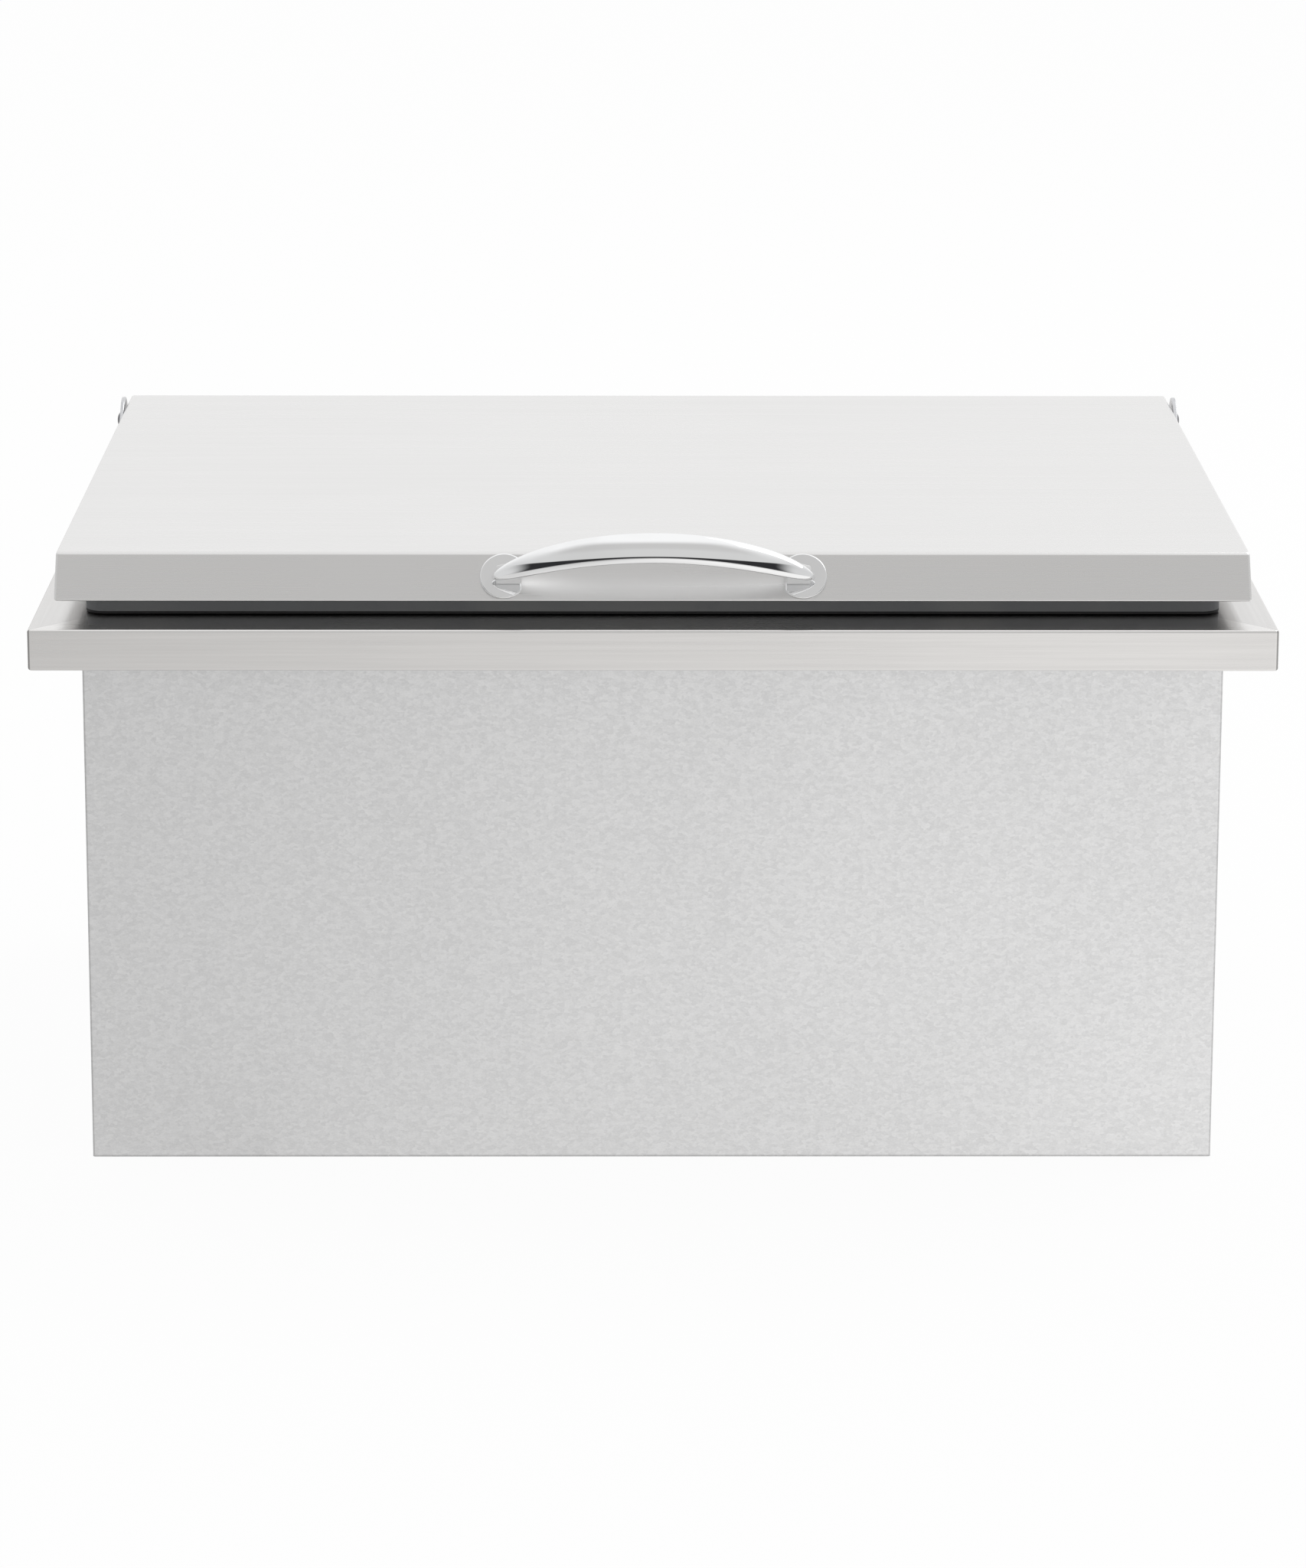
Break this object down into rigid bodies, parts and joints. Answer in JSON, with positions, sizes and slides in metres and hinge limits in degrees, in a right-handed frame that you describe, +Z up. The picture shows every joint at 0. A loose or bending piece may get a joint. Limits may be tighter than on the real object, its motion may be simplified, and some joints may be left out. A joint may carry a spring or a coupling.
{
  "type": "drop-in ice bin",
  "caption": "Insulated stainless ice bin for a counter cut-out, with a top flange, a galvanised jacket, a floor drain and a rear-hinged lid with a leaning front face and a bow handle.",
  "frame": {"origin": "middle of the jacket's underside, where the bin stands", "axes": "+Z up, -Y towards the front with the handle, +X to the right seen from the front"},
  "size_m": [0.7112, 0.5234, 0.3822],
  "materials": {
    "brushed_stainless": "satin",
    "galvanised_sheet": "matte",
    "polished_chrome": "polished",
    "bright_fastener": "gloss",
    "white_foam": "matte",
    "black_rubber": "matte"
  },
  "bodies": {
    "bin": {"counter_flange": "brushed_stainless", "liner_tub": "brushed_stainless", "jacket_wrap": "galvanised_sheet", "jacket_back_panel": "galvanised_sheet", "jacket_bottom_pan": "galvanised_sheet", "insulation_front": "white_foam", "insulation_back": "white_foam", "insulation_left": "white_foam", "insulation_right": "white_foam", "insulation_bottom": "white_foam", "drain_spud": "brushed_stainless", "drain_strainer": "brushed_stainless", "drain_gasket": "black_rubber", "drain_locknut": "bright_fastener", "hinge_bracket_left": "bright_fastener", "hinge_bracket_right": "bright_fastener", "pivot_bolt_left": "bright_fastener", "pivot_bolt_right": "bright_fastener", "pivot_washer_left": "bright_fastener", "pivot_washer_right": "bright_fastener", "pivot_nut_left": "bright_fastener", "pivot_nut_right": "bright_fastener", "bracket_rivet_1": "bright_fastener", "bracket_rivet_2": "bright_fastener", "bracket_rivet_3": "bright_fastener", "bracket_rivet_4": "bright_fastener", "back_rivet_1": "bright_fastener", "back_rivet_2": "bright_fastener", "back_rivet_3": "bright_fastener", "back_rivet_4": "bright_fastener", "back_rivet_5": "bright_fastener", "back_rivet_6": "bright_fastener"},
    "lid": {"lid_skin": "brushed_stainless", "lid_pan": "brushed_stainless", "lid_insulation": "white_foam", "lid_gasket": "black_rubber", "handle_bow": "polished_chrome", "handle_base_left": "polished_chrome", "handle_base_right": "polished_chrome", "handle_screw_left": "bright_fastener", "handle_screw_right": "bright_fastener"},
    "plug": {"drain_plug": "black_rubber"}
  },
  "joints": [
    {"name": "lid_hinge", "type": "hinge", "parent": "bin", "child": "lid", "pos_m": [0, 0.2144, 0.3515], "axis": [-1, 0, 0], "range_deg": [0, 98]},
    {"name": "drain_plug_lift", "type": "slide", "parent": "bin", "child": "plug", "axis": [0, 0, 1], "range_m": [0, 0.04]}
  ]
}
